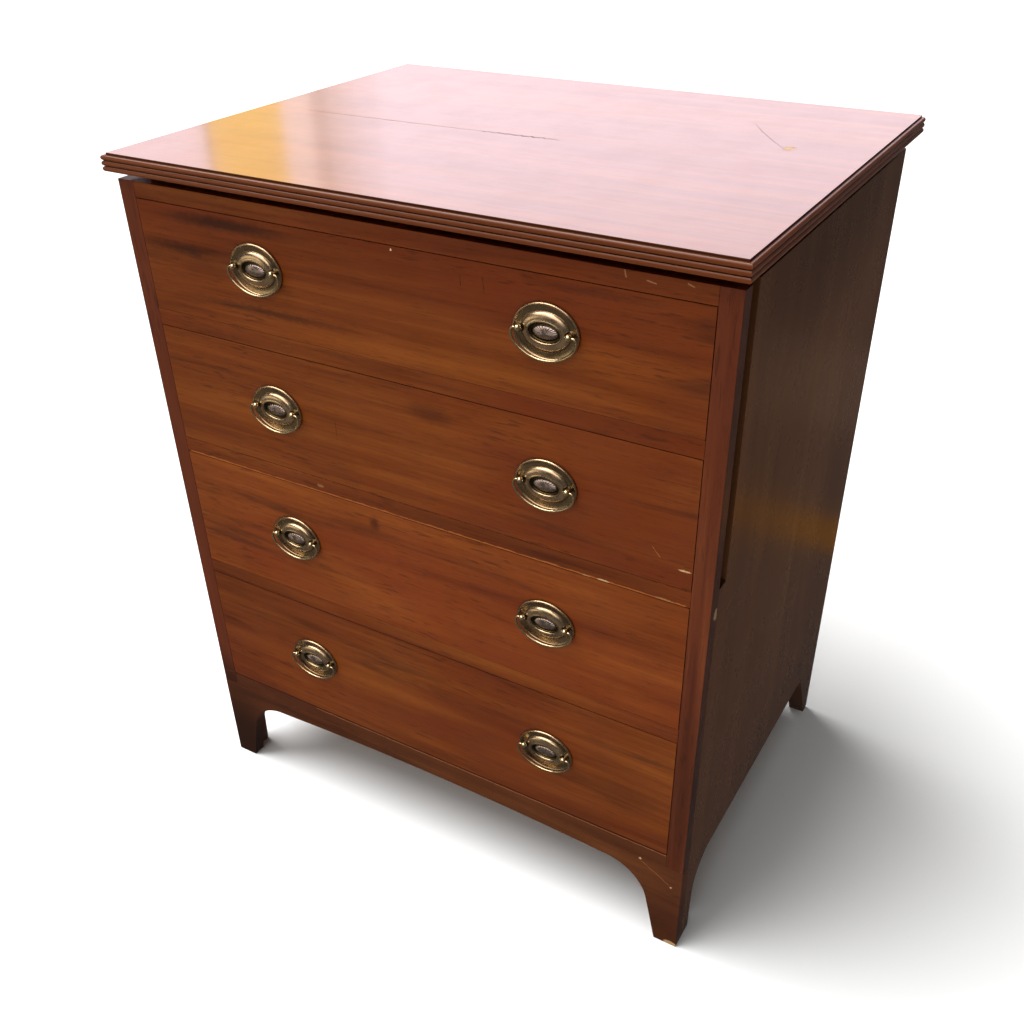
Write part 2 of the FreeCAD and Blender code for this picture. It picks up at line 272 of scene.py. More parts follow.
def stain_and_shade(centre, half_size, code, strength, ragged=6.0):
    """A soft cloud of another colour, used for real stains and for painted shade. The half size is in
    millimetres.
    """
    reach = tuple(size * MM for size in half_size)

    def paint(graph, colour):
        place = graph.ragged_place(ragged * MM, *RAGGED_STAIN_AND_SHADE)
        mask = graph.fade(graph.oval_reach(place, centre, reach), 1.0, STAIN_AND_SHADE_CORE)
        return graph.mix(graph.math("MULTIPLY", mask, strength), colour, linear(code)), None

    return paint


def chip(centre, half_size, code):
    """A small sharp-edged loss that shows paler wood and lies a little lower."""
    reach = tuple(size * MM for size in half_size)

    def paint(graph, colour):
        place = graph.ragged_place(CHIP_RAGGED, *RAGGED_CHIP)
        mask = graph.fade(graph.oval_reach(place, centre, reach), 1.0, CHIP_CORE)
        fresh = graph.noise(graph.stretched(CHIP_GRAIN), 3.0, 0.6)
        shaded = tuple(CHIP_SHADE * share for share in linear(code))
        return graph.mix(mask, colour, graph.mix(fresh, linear(code), shaded)), mask

    return paint


def scratch_and_highlight(start, end, width, code, strength, ragged=0.5):
    """A thin line from one point to another, used for scratches, dark joints and a painted highlight. The
    width is in millimetres.
    """

    def paint(graph, colour):
        place = graph.ragged_place(ragged * MM, *RAGGED_SCRATCH_AND_HIGHLIGHT)
        distance = graph.line_distance(place, start, end)
        mask = graph.fade(distance, width * MM * SCRATCH_AND_HIGHLIGHT_EDGE, width * MM * SCRATCH_AND_HIGHLIGHT_CORE)
        mask = graph.math("MULTIPLY", mask, strength)
        return graph.mix(mask, colour, linear(code)), mask

    return paint


def below(height, code, strength):
    """Another colour on all that lies lower than a height in metres."""

    def paint(graph, colour):
        mask = graph.fade(graph.along("Z"), height, height - BELOW_FADE, 0.0, strength)
        return graph.mix(mask, colour, linear(code)), None

    return paint


def outer_face(half_width, code, strength):
    """Another colour on the faces that look outwards to the left and right."""
    start, end = (half_width - inset for inset in OUTER_FADE)

    def paint(graph, colour):
        mask = graph.fade(graph.math("ABSOLUTE", graph.along("X")), start, end, 0.0, strength)
        return graph.mix(mask, colour, linear(code)), None

    return paint


def level_line(low, high, code, strength):
    """A line of another colour round a piece, between two heights in metres."""
    middle = (low + high) / 2
    half = (high - low) / 2

    def paint(graph, colour):
        from_middle = graph.math("ABSOLUTE", graph.math("SUBTRACT", graph.along("Z"), middle))
        mask = graph.fade(from_middle, half, half - LINE_FADE, 0.0, strength)
        return graph.mix(mask, colour, linear(code)), None

    return paint


# Wood

GRAIN_ALONG = {"x": 0, "y": 1, "z": 2}
SEED_STEP = (3.71, 1.93, 2.57)
# Each layer of a board's figure has its cells per metre along and across the grain, and then the
# detail, roughness and distortion of its noise.
LAYERS = {
    "bands": (1.3, 13.0, 3.0, 0.55, 0.9),
    "streaks": (2.4, 70.0, 5.0, 0.62, 0.6),
    "fibres": (14.0, 480.0, 3.0, 0.6, 0.0),
    "mottle": (9.0, 5.0, 2.0, 0.5, 0.4),
    "drift": (2.6, 5.5, 2.0, 0.5, 0.6),
    "smoke": (3.0, 34.0, 4.0, 0.6, 0.8),
    "pores": (60.0, 1300.0, 2.0, 0.5, 0.0),
    "dashes": (34.0, 290.0, 2.0, 0.5, 0.3),
    "patches": (4.0, 9.0, 2.0, 0.5, 0.0),
    "sheen": (17.0, 17.0, 4.0, 0.6, 0.0),
    "waves": (5.0, 16.0, 2.0, 0.5, 0.0),
}
BAND_SHARE = 0.5
STREAK_SHARE = 0.34
FIBRE_SHARE = 0.16
TONE_STOPS = (0.34, 0.5, 0.66)
DRIFT_RANGE = (0.40, 0.64)
SMOKE_RANGE = (0.56, 0.74)
PORE_RANGE = (0.60, 0.70)
DASH_RANGE = (0.57, 0.68)
PATCH_RANGE = (0.40, 0.60)
HOLLOW_SHADE_RANGE = (0.25, 0.85)
SHEEN_RANGE = (0.35, 0.7)
MARK_DEPTH = 6.0
WAVE_STRENGTH = 0.25
GRAIN_STRENGTH = 0.5
WORN_COAT = 0.3
COAT_FADE = 0.2 * MM


def figure_layer(graph, name, grain, seed):
    along, across, detail, roughness, distortion = LAYERS[name]
    scale = [across] * 3
    scale[GRAIN_ALONG[grain]] = along
    shift = tuple(seed * step for step in SEED_STEP)
    return graph.noise(graph.stretched(tuple(scale), shift), detail, roughness, distortion)


def wood(name, grain, seed, palette, finish, marks=(), coated_above=None):
    """Sawn and polished timber: broad bands, smoky streaks, fibres, pores and flecks along one axis, with
    painted shade in its hollows.

    Where coated_above is a height, the finish has its full clear coat only above it, and a worn one below.
    """
    graph = Graph(name)
    layers = {layer: figure_layer(graph, layer, grain, seed) for layer in LAYERS}
    smoke_and_shade_colour = linear(palette["smoke"])

    tone = graph.math("MULTIPLY", layers["streaks"], STREAK_SHARE)
    tone = graph.math("MULTIPLY_ADD", layers["bands"], BAND_SHARE, tone)
    tone = graph.math("MULTIPLY_ADD", layers["fibres"], FIBRE_SHARE, tone)
    colour = graph.ramp(tone, list(zip(TONE_STOPS, map(linear, palette["figure"]))))
    drift_mask = graph.fade(layers["drift"], *DRIFT_RANGE, 0.0, palette["drift"])
    colour = graph.mix(drift_mask, colour, linear(palette["flush"]))
    smoke_mask = graph.fade(layers["smoke"], *SMOKE_RANGE, 0.0, palette["smoke_depth"])
    colour = graph.mix(smoke_mask, colour, smoke_and_shade_colour)
    shimmer = graph.math("MULTIPLY_ADD", layers["mottle"], palette["mottle"], 1.0 - palette["mottle"] / 2)
    colour = graph.mix(1.0, colour, shimmer, "MULTIPLY")
    pore_mask = graph.fade(layers["pores"], *PORE_RANGE)
    colour = graph.mix(graph.math("MULTIPLY", pore_mask, palette["pore_depth"]), colour, smoke_and_shade_colour)
    patch_mask = graph.fade(layers["patches"], *PATCH_RANGE, 0.0, palette["flecks"])
    fleck_mask = graph.math("MULTIPLY", graph.fade(layers["dashes"], *DASH_RANGE), patch_mask)
    colour = graph.mix(fleck_mask, colour, smoke_and_shade_colour)

    relief = graph.math("SUBTRACT", layers["fibres"], pore_mask)
    for mark in marks:
        colour, dent = mark(graph, colour)
        if dent is not None:
            relief = graph.math("MULTIPLY_ADD", dent, -MARK_DEPTH, relief)
    # Painted shade: the colour darkens towards the smoke colour in corners, creases and hollows, where shade
    # falls.
    shade_and_patina = graph.fade(graph.hollows(finish["hollow_shade_reach"]), *HOLLOW_SHADE_RANGE, 0.0, finish["shade_and_patina"])
    graph.set(base_color=graph.mix(shade_and_patina, colour, smoke_and_shade_colour))

    graph.set(roughness=graph.fade(layers["sheen"], *SHEEN_RANGE, *finish["roughness"]))
    graph.set(specular_ior_level=finish["specular"])
    coat = finish["coat"]
    if coated_above is not None:
        coat = graph.fade(graph.along("Z"), coated_above - COAT_FADE, coated_above, WORN_COAT, coat)
    graph.set(coat_weight=coat, coat_roughness=finish["coat_roughness"])
    surface = graph.bump(layers["waves"], WAVE_STRENGTH, finish["waviness"])
    graph.set(normal=graph.bump(relief, GRAIN_STRENGTH, finish["grain_depth"], surface))
    return graph.material


MAHOGANY = {
    "figure": ("4d1d03", "693007", "80420d"),
    "flush": "612306",
    "drift": 0.6,
    "smoke": "2c150a",
    "smoke_depth": 0.5,
    "pore_depth": 0.35,
    "flecks": 0.42,
    "mottle": 0.3,
}
PALER_MAHOGANY = dict(MAHOGANY, figure=("572205", "77380a", "8f4c11"), flush="6c2908")
TOP_MAHOGANY = dict(MAHOGANY, smoke_depth=0.2, flecks=0.3, mottle=0.15, drift=0.3)
FACING_MAHOGANY = dict(MAHOGANY, figure=("4b1f0d", "612d14", "723b1a"), flush="56230f", smoke_depth=0.25)
# Painted shade: the sides have a darker, greyer palette than the fronts, standing for the shade that the
# right side lies in.
SHADE_DARKENED_SIDE_MAHOGANY = dict(MAHOGANY, figure=("4a2e1b", "53331e", "5d3d24"), flush="4e2f1a", smoke_depth=0.25,
                     mottle=0.06, drift=0.3, pore_depth=0.06, flecks=0.12)
BASE_MAHOGANY = dict(MAHOGANY, figure=("3d1c09", "542a0f", "653715"), flush="48210e")
SHADOWED = dict(MAHOGANY, figure=("110805", "1a0d08", "26140b"), flush="1a0d08")
FRESH = dict(MAHOGANY, figure=("c29c62", "d8b67e", "e8ca98"), flush="c8a468", smoke_depth=0.1,
             flecks=0.1)
OAK = {
    "figure": ("7d6140", "9c7f57", "b3986e"),
    "flush": "8a6a45",
    "drift": 0.5,
    "smoke": "4e3a24",
    "smoke_depth": 0.3,
    "pore_depth": 0.5,
    "flecks": 0.25,
    "mottle": 0.15,
}
PINE = {
    "figure": ("57402a", "6f5336", "846645"),
    "flush": "5d4229",
    "drift": 0.5,
    "smoke": "3a2818",
    "smoke_depth": 0.4,
    "pore_depth": 0.2,
    "flecks": 0.25,
    "mottle": 0.2,
}
# The last two entries set the strength and the reach of the painted shade in hollows.
POLISHED = {
    "roughness": (0.34, 0.46),
    "specular": 0.1,
    "coat": 0.0,
    "coat_roughness": 0.25,
    "waviness": 0.4 * MM,
    "grain_depth": 0.06 * MM,
    "shade_and_patina": 0.75,
    "hollow_shade_reach": 5.0 * MM,
}
BURNISHED = dict(POLISHED, roughness=(0.34, 0.40), coat=0.9, coat_roughness=0.13, waviness=0.1 * MM,
                 grain_depth=0.02 * MM, shade_and_patina=0.95, hollow_shade_reach=4.0 * MM)
DULLED = dict(POLISHED, roughness=(0.42, 0.46), specular=0.08, waviness=0.05 * MM, grain_depth=0.006 * MM,
              hollow_shade_reach=8.0 * MM)
SHADED = dict(DULLED, roughness=(0.27, 0.29), specular=0.03, waviness=0.01 * MM, grain_depth=0.0004 * MM)
RAW = dict(POLISHED, roughness=(0.65, 0.85), specular=0.2, grain_depth=0.12 * MM, hollow_shade_reach=10.0 * MM)


# Brass

BARE_BRASS = "948789"
SPOTS = (190.0, 4.0, 0.6)
CLOUDS = (55.0, 3.0, 0.55)
RUBBED_FADE = (0.32, 0.66, 0.7, 1.0)
HOLLOW_REACH = 3.0 * MM
HOLLOW_FADE = (0.12, 0.62)
SPOT_FADE = (0.1, 0.5)
POLISH_FADE = (0.3, 0.75)
POLISH_SPREAD = 0.14
GRIME_ROUGHNESS = 0.25
SPOT_STRENGTH = 0.2
SPOT_DEPTH = 0.025 * MM


def brass(name, bright, dull, stain_code, polish, shine=None, worn=None):
    """Old lacquered brass: dark in its hollows, rubbed bright on what stands proud.

    shine names the attribute that says how far each point is rubbed bright, and worn the one that says
    how far it has lost its lacquer.
    """
    graph = Graph(name)
    spots = graph.speckle(*SPOTS)
    rubbed = graph.fade(graph.speckle(*CLOUDS), *RUBBED_FADE)
    if shine is not None:
        rubbed = graph.math("MULTIPLY", rubbed, graph.attribute(shine))
    tint = graph.mix(rubbed, linear(dull), linear(bright))
    if worn is not None:
        tint = graph.mix(graph.attribute(worn), tint, linear(BARE_BRASS))
    hollow = graph.fade(graph.hollows(HOLLOW_REACH), *HOLLOW_FADE)
    shade_and_patina = graph.math("MULTIPLY", hollow, graph.fade(spots, *SPOT_FADE), clamp=True)
    graph.set(base_color=graph.mix(shade_and_patina, tint, linear(stain_code)))
    graph.set(metallic=1.0)
    roughness = graph.fade(spots, *POLISH_FADE, polish, polish + POLISH_SPREAD)
    graph.set(roughness=graph.math("MULTIPLY_ADD", shade_and_patina, GRIME_ROUGHNESS, roughness))
    graph.set(normal=graph.bump(spots, SPOT_STRENGTH, SPOT_DEPTH))
    return graph.material


# Oval plates behind the bails

PLATE_HALF_WIDTH = 32.0
PLATE_HALF_HEIGHT = 25.5
PLATE_STEPS = 240
EDGE_SHINE = 0.5
POST_OFFSET = 24.0
POST_RISE = 1.0
PAD_REACH = 4.2
PAD_EDGE = 0.7
PAD_HEIGHT = 1.6
RIM_WIDTH = 2.6
RIM_BASE = 0.8
RIM_RISE = 1.7
RIM_STEPS = 7
RIM_SHINE = 0.9
MILLING = 0.22
COVE_START = 2.2
COVE_HEIGHT = 1.9
COVE_FLOOR = 0.9
COVE_END = 8.0
COVE_STEPS = 8
COVE_SHINE = 0.42
DOME_END = 14.8
DOME_RISE = 3.6
DOME_STEPS = 8
DOME_SHINE = 0.95
LIP_WIDTH = 1.8
LIP_RISE = 0.45
LIP_STEPS = 5
LIP_SHINE = 0.6
WALL_WIDTH = 0.6
WALL_SHINE = 0.1
WELL_INSET = 19.4
WELL_HEIGHT = 2.0
BOSS_RISE = 2.7
BOSS_STEPS = 8
BOSS_SHINE = 0.65
BOSS_FLUTES = 24
BOSS_FLUTE_DEPTH = 0.16
BOSS_WEAR = 0.6

# A ring has two half axes and a height off the drawer front, all in millimetres, how bright it is
# rubbed, and the depths of two ripples: the milling of the rim and the flutes of the boss.
Ring = namedtuple("Ring", ("half_x", "half_z", "height", "shine", "milling", "fluting"))


def plate_rings():
    """Rings of a plate from its rim to its middle."""
    rings = []

    def inset_ring(inset, height, shine, milling=0.0):
        rings.append(Ring(PLATE_HALF_WIDTH - inset, PLATE_HALF_HEIGHT - inset, height, shine, milling, 0.0))

    inset_ring(0.0, 0.0, EDGE_SHINE)
    for step in range(RIM_STEPS - 1):
        turn = math.pi * step / RIM_STEPS
        inset = RIM_WIDTH * (1 - math.cos(turn)) / 2
        inset_ring(inset, RIM_BASE + RIM_RISE * math.sin(turn), RIM_SHINE, MILLING * math.sin(turn))
    for step in range(COVE_STEPS + 1):
        share = step / COVE_STEPS
        inset = COVE_START + (COVE_END - COVE_START) * share
        inset_ring(inset, COVE_FLOOR + (COVE_HEIGHT - COVE_FLOOR) * (1 - share) ** 2, COVE_SHINE)
    for step in range(1, DOME_STEPS + 1):
        turn = math.pi / 2 * step / DOME_STEPS
        inset = COVE_END + (DOME_END - COVE_END) * (1 - math.cos(turn))
        inset_ring(inset, COVE_FLOOR + DOME_RISE * math.sin(turn), DOME_SHINE)
    dome_height = COVE_FLOOR + DOME_RISE
    for step in range(1, LIP_STEPS + 1):
        turn = math.pi * step / LIP_STEPS
        inset = DOME_END + LIP_WIDTH * step / LIP_STEPS
        inset_ring(inset, dome_height + LIP_RISE * math.sin(turn), LIP_SHINE)
    wall = DOME_END + LIP_WIDTH
    inset_ring(wall + WALL_WIDTH / 2, (dome_height + WELL_HEIGHT) / 2, WALL_SHINE)
    inset_ring(wall + WALL_WIDTH, WELL_HEIGHT, 0.0)
    inset_ring(WELL_INSET, WELL_HEIGHT, 0.0)
    boss_x = PLATE_HALF_WIDTH - WELL_INSET
    boss_z = PLATE_HALF_HEIGHT - WELL_INSET
    for step in range(1, BOSS_STEPS):
        turn = math.pi / 2 * step / BOSS_STEPS
        share = math.cos(turn)
        height = WELL_HEIGHT + BOSS_RISE * math.sin(turn)
        fluting = BOSS_FLUTE_DEPTH * share
        rings.append(Ring(boss_x * share, boss_z * share, height, BOSS_SHINE, 0.0, fluting))
    return rings


def plate_point(ring, step):
    """A point of a ring, across, out and up, with flat pads where the posts stand."""
    angle = 2 * math.pi * step / PLATE_STEPS
    x = ring.half_x * math.cos(angle)
    z = ring.half_z * math.sin(angle)
    height = ring.height + ring.milling * (1 if step % 2 else -1)
    height -= ring.fluting * math.cos(BOSS_FLUTES * angle)
    from_post = math.hypot(abs(x) - POST_OFFSET, z - POST_RISE)
    pad_share = min(1.0, max(0.0, (PAD_REACH - from_post) / PAD_EDGE))
    if height > RIM_BASE:
        height += (PAD_HEIGHT - height) * pad_share
    return Vector((x, -height, z)) * MM


def plate_mesh(name, centres):
    """One mesh of oval plates at these centres on a drawer front."""
    rings = plate_rings()
    shell = bmesh.new()
    shine = shell.verts.layers.float.new("shine")
    worn = shell.verts.layers.float.new("worn")
    for centre in centres:
        loops = []
        for ring in rings:
            loop = [shell.verts.new(centre + plate_point(ring, step)) for step in range(PLATE_STEPS)]
            for vertex in loop:
                vertex[shine] = ring.shine
                vertex[worn] = BOSS_WEAR if ring.fluting else 0.0
            loops.append(loop)
        peak = shell.verts.new(centre + Vector((0, -(WELL_HEIGHT + BOSS_RISE), 0)) * MM)
        peak[shine] = BOSS_SHINE
        peak[worn] = BOSS_WEAR
        for outer, inner in zip(loops, loops[1:]):
            for step in range(PLATE_STEPS):
                following = (step + 1) % PLATE_STEPS
                shell.faces.new((outer[step], outer[following], inner[following], inner[step]))
        for step in range(PLATE_STEPS):
            shell.faces.new((loops[-1][step], loops[-1][(step + 1) % PLATE_STEPS], peak))
        shell.faces.new(reversed(loops[0]))
    for face in shell.faces:
        face.smooth = len(face.verts) < PLATE_STEPS
    return mesh_of(shell, name)


plate_brass = brass("brass_plates", "d0b08b", "514328", "1c1510", 0.2, "shine", "worn")
for drawer in DRAWERS:
    node = f"drawer_{drawer}_plates"
    low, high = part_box(node)
    reach = high[0] - PLATE_HALF_WIDTH * MM
    middle_z = (low[2] + high[2]) / 2
    centres = [Vector((side * reach, FRONT_Y, middle_z)) for side in (-1, 1)]
    pair = plate_mesh(node + "_mesh", centres)
    plates = add_piece(f"drawer_{drawer}_oval_plates", pair, f"drawer_{drawer}", plate_brass)
    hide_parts(node)


# Where the marks are

PALE = "c9a271"
DARK = "1c0e08"
WORN = "a9683a"
RUBBED = "9c6a48"
QUIRK_TOP = TOP_Z - 0.2 * MM
QUIRK_FLOOR = TOP_Z - 1.9 * MM
QUIRK_OVERLAP = 0.2 * MM
BACK_BOARDS = 3
BACK_JOINT_HALF = 0.8 * MM

top_marks = [
    below(QUIRK_FLOOR, "5a2a0f", 0.6),
    # Painted shade: a dark line in the quirk between the flat of the top and its first reed.
    level_line(QUIRK_FLOOR - QUIRK_OVERLAP, QUIRK_TOP, DARK, 0.55),
]
rail_marks = [
    scratch_and_highlight(on_front(-300.0, 470.8), on_front(300.0, 470.8), 3.0, "b0622a", 0.6, 1.2),
    scratch_and_highlight(on_front(-300.0, 487.6), on_front(300.0, 487.6), 1.2, DARK, 0.5, 1.0),
    chip(on_front(200.0, 470.0), (5.0, 4.0, 1.2), PALE),
    chip(on_front(218.0, 471.0), (7.0, 4.0, 1.3), PALE),
    chip(on_front(280.0, 471.0), (10.0, 4.0, 1.3), "a2693a"),
    chip(on_front(-114.0, 478.0), (5.0, 4.0, 2.0), "8c5a30"),
    scratch_and_highlight(on_front(227.0, 767.0), on_front(228.5, 762.0), 1.6, RUBBED, 0.7),
    scratch_and_highlight(on_front(246.0, 762.0), on_front(254.0, 760.4), 1.6, RUBBED, 0.7),
    scratch_and_highlight(on_front(280.0, 765.4), on_front(285.0, 763.4), 1.6, RUBBED, 0.7),
]
facing_marks = [
    chip(on_front(323.0, 463.0, 13.0), (4.0, 7.0, 9.0), PALE),
    scratch_and_highlight(on_front(-321.0, 141.6), on_front(-306.0, 142.0), 0.8, "94603d", 0.8),
    stain_and_shade(on_front(315.0, 230.0), (60.0, 40.0, 190.0), DARK, 0.35),
    # Painted shade: the foot of the left facing darkened, beside the shaded left foot.
    stain_and_shade(on_front(-315.0, 118.0), (60.0, 60.0, 70.0), "2a130a", 0.8),
    # Painted shade: the outward-looking returns of the facings darkened as if in the shade of the sides.
    outer_face(CARCASS_HALF, "1c1713", 0.5),
]
side_marks = [
    # Painted shade: darker across the top of the right side, under the overhang of the top.
    stain_and_shade((CARCASS_HALF, 0.0, 760.0 * MM), (600.0, 420.0, 150.0), DARK, 0.5),
    # Painted shade: near black in the open slot between the right facing and the side.
    stain_and_shade(on_front(318.0, 630.0, 20.0), (17.0, 17.0, 230.0), "120a06", 0.85),
]
lining_slot_shadow = [
    # Painted shade: near black on the drawers' oak right sides, where they show through the slot behind the
    # right facing.
    stain_and_shade(on_front(306.0, 630.0, 26.0), (25.0, 26.0, 420.0), "1a0f08", 0.92, 2.0),
]
base_marks = [
    chip(on_front(275.0, 120.5), (1.8, 2.0, 1.8), PALE),
    chip(on_front(313.0, 94.5), (1.4, 2.0, 1.4), PALE),
    scratch_and_highlight(on_front(277.0, 117.0), on_front(296.0, 106.0), 0.8, WORN, 0.7),
    scratch_and_highlight(on_front(296.0, 106.0), on_front(313.0, 95.0), 0.8, WORN, 0.7),
    chip(on_front(318.0, 2.0), (9.0, 5.0, 4.5), PALE),
    # Painted shade: the left foot and the left end of the apron darkened as if in shade.
    stain_and_shade(on_front(-308.0, 30.0), (90.0, 60.0, 130.0), "1c0f08", 0.82),
    # Painted highlight: a pale line along the top arris of the bottom rail, under the lowest drawer.
    scratch_and_highlight(on_front(-170.0, 140.6), on_front(304.0, 140.6), 1.4, "a8683c", 0.6, 0.8),
    stain_and_shade(on_front(300.0, 20.0), (60.0, 60.0, 60.0), DARK, 0.15),
]
back_low, back_high = (corner[2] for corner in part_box("back_boards"))
back_joints = [back_low + (back_high - back_low) * board / BACK_BOARDS for board in range(1, BACK_BOARDS)]
back_marks = [level_line(back_joints[0], back_joints[1], "3c2a1a", 0.3)]
for joint in back_joints:
    back_marks.append(level_line(joint - BACK_JOINT_HALF, joint + BACK_JOINT_HALF, "140c06", 0.9))
front_marks = {
    1: [
        stain_and_shade(on_front(-195.0, 741.0), (125.0, 20.0, 10.0), DARK, 0.75),
        stain_and_shade(on_front(-250.0, 710.0), (75.0, 20.0, 7.0), DARK, 0.65),
        stain_and_shade(on_front(-150.0, 662.0), (150.0, 20.0, 6.0), DARK, 0.5),
        stain_and_shade(on_front(200.0, 744.0), (90.0, 20.0, 6.0), DARK, 0.3),
        scratch_and_highlight(on_front(74.0, 738.0), on_front(74.5, 728.0), 0.9, DARK, 0.7),
        scratch_and_highlight(on_front(97.0, 739.0), on_front(98.0, 726.0), 0.9, DARK, 0.7),
        chip(on_front(3.4, 748.0), (1.0, 2.0, 1.2), "d8c2a0"),
    ],
    2: [
        stain_and_shade(on_front(34.0, 597.0), (40.0, 20.0, 16.0), DARK, 0.4),
        scratch_and_highlight(on_front(-83.0, 560.0), on_front(-83.0, 545.0), 1.0, DARK, 0.7),
        chip(on_front(297.0, 508.0), (7.0, 3.0, 1.2), PALE),
        scratch_and_highlight(on_front(265.0, 524.0), on_front(273.0, 515.0), 0.7, WORN, 0.8),
    ],
    3: [
        stain_and_shade(on_front(-46.0, 452.0), (10.0, 20.0, 13.0), DARK, 0.6),
        stain_and_shade(on_front(-60.0, 440.0), (60.0, 20.0, 10.0), DARK, 0.3),
    ],
    4: [
        stain_and_shade(on_front(250.0, 200.0), (60.0, 20.0, 26.0), DARK, 0.25),
        level_line(LOWEST_FRONT - 1.0 * MM, LOWEST_FRONT + 1.5 * MM, DARK, 0.85),
    ],
}


# The finish of each node

COATED_ABOVE = TOP_Z - 0.1 * MM
PALER_DRAWER = 3
FRONT_SEED = 11.0


def dress(material, *names):
    for name in names:
        frame["nodes"][name].material_slots[0].material = material


dress(wood("mahogany_top", "x", 1.0, TOP_MAHOGANY, BURNISHED, top_marks, COATED_ABOVE), "top_board")
dress(wood("mahogany_rails", "x", 2.0, MAHOGANY, POLISHED, rail_marks), "top_front_rail",
      "upper_drawer_rail", "middle_drawer_rail", "lower_drawer_rail")
dress(wood("mahogany_facings", "z", 3.0, FACING_MAHOGANY, POLISHED, facing_marks), "left_facings",
      "right_facings")
dress(wood("mahogany_left_side", "z", 18.0, SHADE_DARKENED_SIDE_MAHOGANY, DULLED), "left_side")
dress(wood("mahogany_right_side", "z", 4.0, SHADE_DARKENED_SIDE_MAHOGANY, SHADED, side_marks), "right_side")
dress(wood("mahogany_base", "x", 5.0, BASE_MAHOGANY, POLISHED, base_marks), "apron", "bottom_rail")
dress(wood("pine_back", "x", 6.0, PINE, RAW, back_marks), "back_boards")
dress(wood("pine_across", "x", 19.0, PINE, RAW), "bottom_board", "top_back_rail", "top_bearers",
      "drawer_stops")
dress(wood("pine_back_to_front", "y", 7.0, PINE, RAW), "drawer_runners", "drawer_kickers")
dress(wood("pine_upright", "z", 8.0, PINE, RAW), "foot_blocks")
oak_sides = wood("oak_back_to_front", "y", 9.0, OAK, RAW, lining_slot_shadow)
oak_across = wood("oak_across", "x", 10.0, OAK, RAW)
fittings = brass("brass_fittings", "d0b88e", "8c7656", "2c2013", 0.16)
for drawer in DRAWERS:
    prefix = f"drawer_{drawer}_"
    palette = PALER_MAHOGANY if drawer == PALER_DRAWER else MAHOGANY
    front = wood(prefix + "mahogany", "x", FRONT_SEED + drawer, palette, POLISHED, front_marks[drawer])
    dress(front, prefix + "front")
    dress(oak_sides, prefix + "left_side", prefix + "right_side")
    dress(oak_across, prefix + "back", prefix + "bottom")
    dress(fittings, prefix + "plates", prefix + "posts", prefix + "nuts", prefix + "left_bail",
          prefix + "right_bail")


# Softened arrises on the boards

ARRIS = 0.5 * MM
ARRIS_ANGLE = math.radians(40)
WELD_REACH = 0.01 * MM


def soften(name):
    """Rounds a board's sharp edges by a hair, which the light then catches."""
    board = frame["nodes"][name]
    weld = board.modifiers.new("weld", "WELD")
    weld.merge_threshold = WELD_REACH
    bevel = board.modifiers.new("arris", "BEVEL")
    bevel.width = ARRIS
    bevel.segments = 2
    bevel.limit_method = "ANGLE"
    bevel.angle_limit = ARRIS_ANGLE
    bevel.harden_normals = True


for name in ("left_facings", "right_facings", "top_front_rail", "upper_drawer_rail", "middle_drawer_rail",
             "lower_drawer_rail", "bottom_rail", "apron", "left_side", "right_side"):
    soften(name)


# A split, a scratch and a small loss in the polish of the top

SLIVER_STEPS = 30
SLIVER_SUNK = -0.1
SLIVER_PROUD = 0.04
WANDER = 0.7
WANDER_WAVES = (2.3, 0.7)
TIP_SHARE = 0.12
SWELL_SHARE = 0.38
SWELL_EVEN = 0.6
SWELL_RIPPLE = 0.4
RIPPLE_WAVE = 1.9


def sliver(name, points, width, finish):
    """A hair-thin closed strip that follows points on the top, in millimetres, and narrows to its ends."""
    section = ((-1, SLIVER_SUNK), (1, SLIVER_SUNK), (1, SLIVER_PROUD), (-1, SLIVER_PROUD))
    shell = bmesh.new()
    rows = []
    for step in range(SLIVER_STEPS + 1):
        share = step / SLIVER_STEPS * (len(points) - 1)
        leg = min(int(share), len(points) - 2)
        start, end = Vector(points[leg]), Vector(points[leg + 1])
        along = (end - start).normalized()
        aside = Vector((-along.y, along.x))
        middle = start.lerp(end, share - leg)
        middle += aside * width * WANDER * math.sin(WANDER_WAVES[0] * step) * math.sin(WANDER_WAVES[1] * step)
        ripple = SWELL_EVEN + SWELL_RIPPLE * math.sin(RIPPLE_WAVE * step)
        half = width * (TIP_SHARE + SWELL_SHARE * math.sin(math.pi * step / SLIVER_STEPS) * ripple)
        row = []
        for side, rise in section:
            edge = middle + aside * half * side
            row.append(shell.verts.new((edge.x * MM, edge.y * MM, TOP_Z + rise * MM)))
        rows.append(row)
    for row, following in zip(rows, rows[1:]):
        for corner in range(len(section)):
            after = (corner + 1) % len(section)
            shell.faces.new((row[corner], row[after], following[after], following[corner]))
    shell.faces.new(reversed(rows[0]))
    shell.faces.new(rows[-1])
    bmesh.ops.recalc_face_normals(shell, faces=shell.faces)
    add_piece(name, mesh_of(shell, name), "carcass", finish)


split_dark = wood("split_in_top", "x", 16.0, SHADOWED, DULLED)
fresh_wood = wood("fresh_wood", "x", 17.0, FRESH, DULLED)
sliver("top_split_thin", [(-268.0, -16.3), (-190.0, -15.6), (-109.0, -14.3), (-40.0, -12.4)], 1.1, split_dark)
sliver("top_split_wide", [(-48.0, -12.8), (-20.0, -11.6), (10.0, -10.6), (42.0, -9.3)], 3.2, split_dark)
sliver("top_scratch", [(186.0, 143.8), (205.0, 112.0), (228.0, 80.0), (248.0, 55.0)], 0.8, split_dark)
sliver("top_chip", [(249.0, 52.0), (250.5, 60.0), (251.0, 68.0)], 7.0, fresh_wood)


# Light

